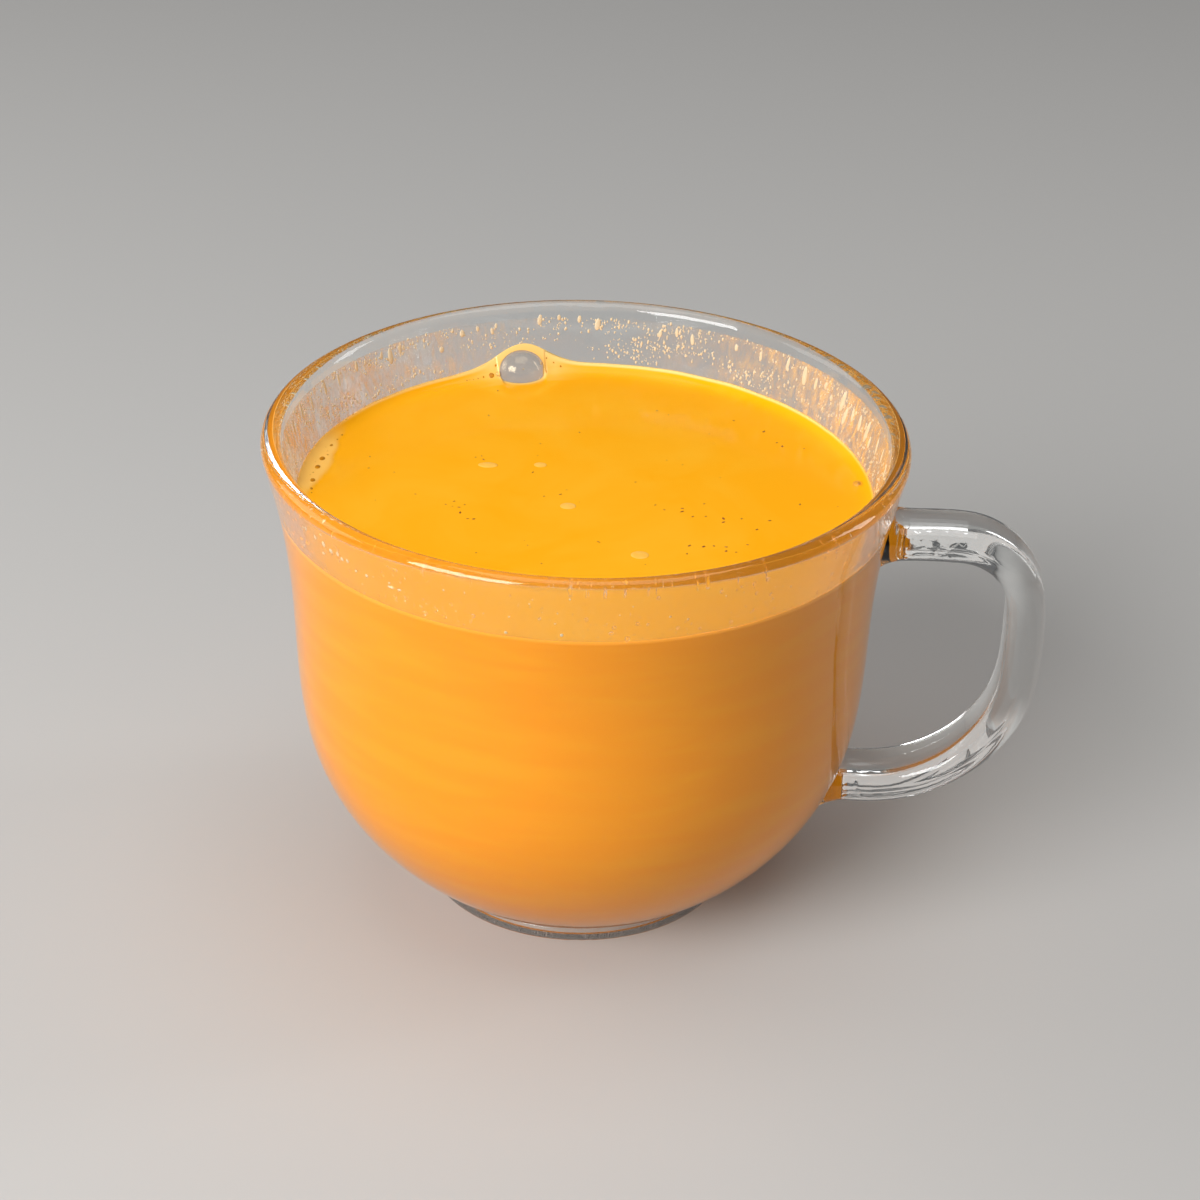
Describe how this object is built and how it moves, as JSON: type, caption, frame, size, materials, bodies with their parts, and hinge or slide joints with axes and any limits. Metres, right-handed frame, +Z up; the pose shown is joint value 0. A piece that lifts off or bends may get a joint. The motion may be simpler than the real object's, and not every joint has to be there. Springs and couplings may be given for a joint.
{
  "type": "glass mug of milk tea",
  "caption": "Clear glass mug with a bar handle and a low foot ring, filled to near its flared rim with opaque amber spiced milk tea.",
  "frame": {"origin": "middle of the ring that the mug stands on, on the mug's axis, at table height", "axes": "+Z up along the mug's axis, +X from the axis through the handle"},
  "size_m": [0.1353, 0.11, 0.087],
  "materials": {
    "clear_glass": "polished clear glass",
    "milk_tea": "opaque liquid, glossy"
  },
  "bodies": {
    "root": {"glass_mug": "clear_glass", "milk_tea": "milk_tea"}
  },
  "joints": []
}
